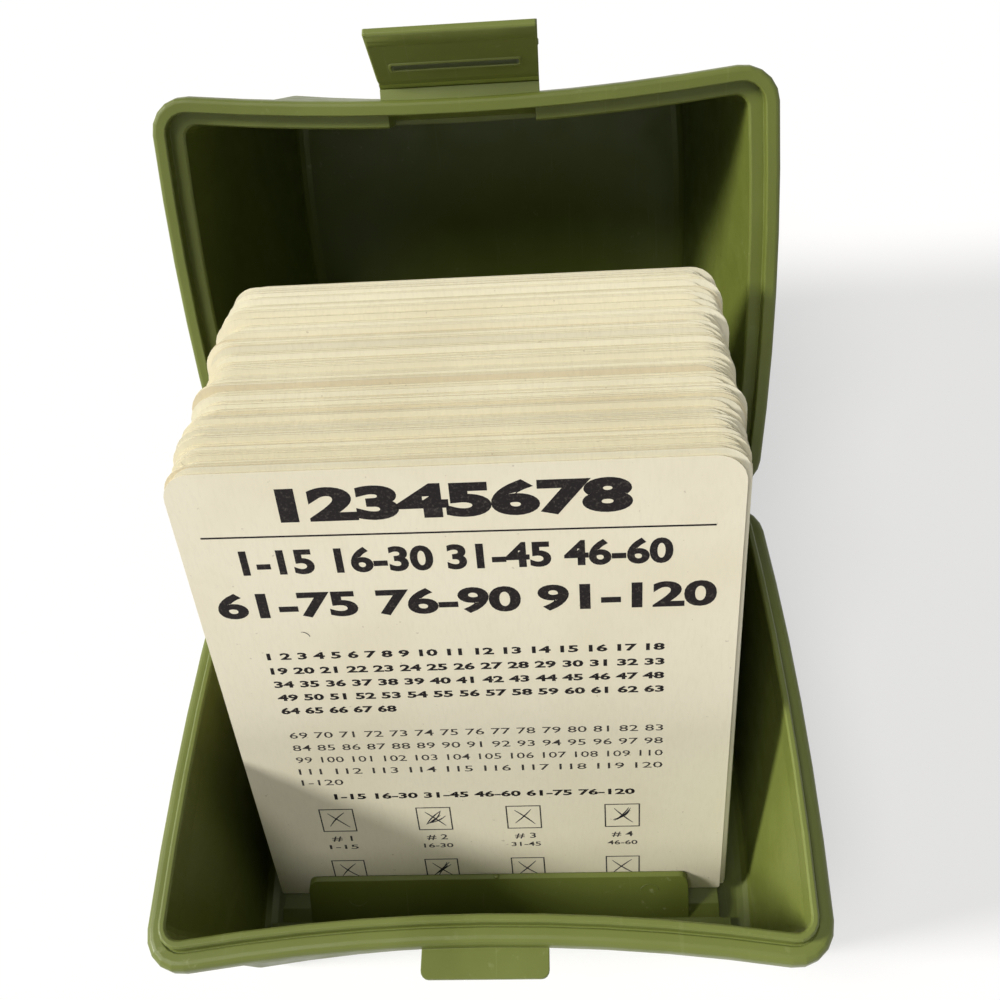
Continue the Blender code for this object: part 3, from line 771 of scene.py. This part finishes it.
def front_card(stock, cut, black, grey, pen):
    """The printed card in front: its rule, its tick boxes with their pen marks, and numerals."""
    place, size = card_frame("front_card")

    def card(solid):
        add_card(solid, place, size, 0.0, size[2], (0, 0), 0.0, 0.0, 0, 1)

    piece = add_mesh("printed_card", card, (stock, cut), "card_front")
    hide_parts("front_card")
    face = size[2] + PRINT_LIFT * MM
    boxes = [(x, y) for y in BOX_ROWS for x in BOX_COLUMNS]
    rng = random.Random(53)

    def rule(solid):
        add_patch(solid, place, RULE, face)

    def tick_boxes(solid):
        for x, y in boxes:
            for outline in square_frame(x, y):
                add_patch(solid, place, outline, face)

    def pen_marks(solid):
        above = face + PEN_LIFT * MM
        for k, (x, y) in enumerate(boxes):
            reach = rng.uniform(1.4, 2.2)
            marks = [
                bent(
                    (x + reach, y + reach), (x + 7.6 - reach, y + 6.6),
                    rng.uniform(-0.06, 0.06),
                ),
                bent(
                    (x + reach, y + 6.4), (x + 7.2 - reach * 0.4, y + 1.5),
                    rng.uniform(-0.06, 0.06),
                ),
            ]
            if k in SCRIBBLED_BOXES:
                for _ in range(3):
                    marks.append(bent(
                        (x + rng.uniform(1.8, 3.0), y + rng.uniform(1.6, 2.8)),
                        (x + rng.uniform(5.0, 6.8), y + rng.uniform(4.8, 6.8)),
                        rng.uniform(-0.12, 0.12),
                    ))
            for points in marks:
                for quad in stroke(points, PEN_WIDTH):
                    add_patch(solid, place, quad, above)
        for quad in stroke(bent(*STRAY_MARK), STRAY_MARK_WIDTH):
            add_patch(solid, place, quad, above)

    add_mesh("card_rule", rule, (black,), "card_front")
    add_mesh("tick_boxes", tick_boxes, (grey,), "card_front")
    add_mesh("pen_marks", pen_marks, (pen,), "card_front")
    for k, (tone, *line) in enumerate(printed_lines(black, grey), 1):
        numerals(f"printed_line_{k}", place, face, tone, *line)
    for k, (text, x) in enumerate(zip(BOX_RANGES, BOX_COLUMNS), 1):
        middle = x + BOX_SIDE / 2
        numerals(
            f"box_number_{k}", place, face, grey, f"# {k}",
            2.0, middle - 2.4, middle + 2.4, 19.4, 0.03,
        )
        numerals(
            f"box_range_{k}", place, face, grey, text,
            1.5, middle - 3.4, middle + 3.4, 16.7, 0.03,
        )


# Stage, light and camera


def plain_rays(tree):
    """1 for the camera, glossy and transmission rays, which see the background as plain white."""
    path = tree.nodes.new("ShaderNodeLightPath")
    rays = path.outputs["Is Camera Ray"]
    for name in ("Is Glossy Ray", "Is Transmission Ray"):
        either = tree.nodes.new("ShaderNodeMath")
        either.operation = "MAXIMUM"
        tree.links.new(rays, either.inputs[0])
        tree.links.new(path.outputs[name], either.inputs[1])
        rays = either.outputs["Value"]
    return rays


def plain_white(tree, kind):
    """An emission or a background at the strength at which it shows white."""
    made = tree.nodes.new(kind)
    made.inputs["Color"].default_value = WHITE
    made.inputs["Strength"].default_value = 1.0
    return made


def mixed_shader(tree, one, other):
    """A mix of two shaders. The caller sets its share."""
    mix = tree.nodes.new("ShaderNodeMixShader")
    tree.links.new(one.outputs[0], mix.inputs[1])
    tree.links.new(other.outputs[0], mix.inputs[2])
    return mix


def show_plain(tree, lit, seen, output):
    """What a surface is to the light, and what the plain rays see of it."""
    mix = mixed_shader(tree, lit, seen)
    tree.links.new(plain_rays(tree), mix.inputs[0])
    tree.links.new(mix.outputs[0], tree.nodes[output].inputs["Surface"])


def add_floor():
    """A pale floor that keeps the object's shadow and otherwise shows nearly white."""
    floor = bpy.data.materials.new("floor")
    floor.use_nodes = True
    tree = floor.node_tree
    shader = tree.nodes["Principled BSDF"]
    shader.inputs["Base Color"].default_value = FLOOR_COLOUR
    shader.inputs["Roughness"].default_value = 0.9
    shader.inputs["Specular IOR Level"].default_value = 0.1
    lit = tree.nodes.new("ShaderNodeBsdfDiffuse")
    lit.inputs["Color"].default_value = WHITE
    bright = mixed_shader(tree, lit, plain_white(tree, "ShaderNodeEmission"))
    bright.inputs[0].default_value = FLOOR_WHITE
    show_plain(tree, shader, bright, "Material Output")
    bpy.ops.mesh.primitive_plane_add(size=FLOOR_SIZE, location=(0, 0, 0))
    plane = bpy.context.object
    plane.name = "floor"
    plane.data.materials.append(floor)


def add_world():
    """A weak even fill that shows as plain white."""
    world = bpy.data.worlds.new("studio")
    bpy.context.scene.world = world
    world.use_nodes = True
    tree = world.node_tree
    fill = tree.nodes["Background"]
    fill.inputs["Color"].default_value = WHITE
    fill.inputs["Strength"].default_value = FILL_STRENGTH
    show_plain(tree, fill, plain_white(tree, "ShaderNodeBackground"), "World Output")


def add_lamps():
    for name, (way, strength, angle) in LAMPS.items():
        sun = bpy.data.lights.new(name, "SUN")
        sun.energy = strength
        sun.angle = math.radians(angle)
        sun.color = LAMP_COLOUR
        lamp = link(bpy.data.objects.new(name, sun))
        lamp.rotation_euler = Vector(way).to_track_quat("Z", "Y").to_euler()


def add_camera():
    pitch, yaw, roll = (math.radians(angle) for angle in (CAMERA_PITCH, CAMERA_YAW, CAMERA_ROLL))
    forward = Vector((
        math.sin(yaw) * math.cos(pitch), math.cos(yaw) * math.cos(pitch), -math.sin(pitch),
    ))
    level = Vector((math.cos(yaw), -math.sin(yaw), 0))
    down = forward.cross(level)
    right = math.cos(roll) * level + math.sin(roll) * down
    down = -math.sin(roll) * level + math.cos(roll) * down
    camera = bpy.data.cameras.new("camera")
    camera.lens = CAMERA_LENS
    camera.sensor_width = CAMERA_SENSOR
    camera.clip_start = CAMERA_NEAREST
    camera.shift_x, camera.shift_y = CAMERA_SHIFT
    holder = link(bpy.data.objects.new("camera", camera))
    holder.matrix_world = Matrix((
        (right.x, -down.x, -forward.x, CAMERA_PLACE[0]),
        (right.y, -down.y, -forward.y, CAMERA_PLACE[1]),
        (right.z, -down.z, -forward.z, CAMERA_PLACE[2]),
        (0, 0, 0, 1),
    ))
    bpy.context.scene.camera = holder


def main():
    dress_mouldings()
    stocks = [card_stock("card stock, " + name, *look) for name, look in CARD_STOCKS.items()]
    stack_cards(stocks)
    face_stock = card_stock("printed card stock", (0.86, 0.81, 0.645), (0.82, 0.765, 0.59), 0.7)
    black = ink("black ink", (0.012, 0.009, 0.010), 0.16)
    grey = ink("thin black ink", (0.045, 0.040, 0.038), 0.40)
    pen = ink("pen ink", (0.028, 0.026, 0.034), 0.25)
    front_card(face_stock, stocks[SHADED_CUT_EDGE], black, grey, pen)
    add_floor()
    add_world()
    add_lamps()
    add_camera()
    bpy.context.scene.view_settings.view_transform = "Standard"


main()
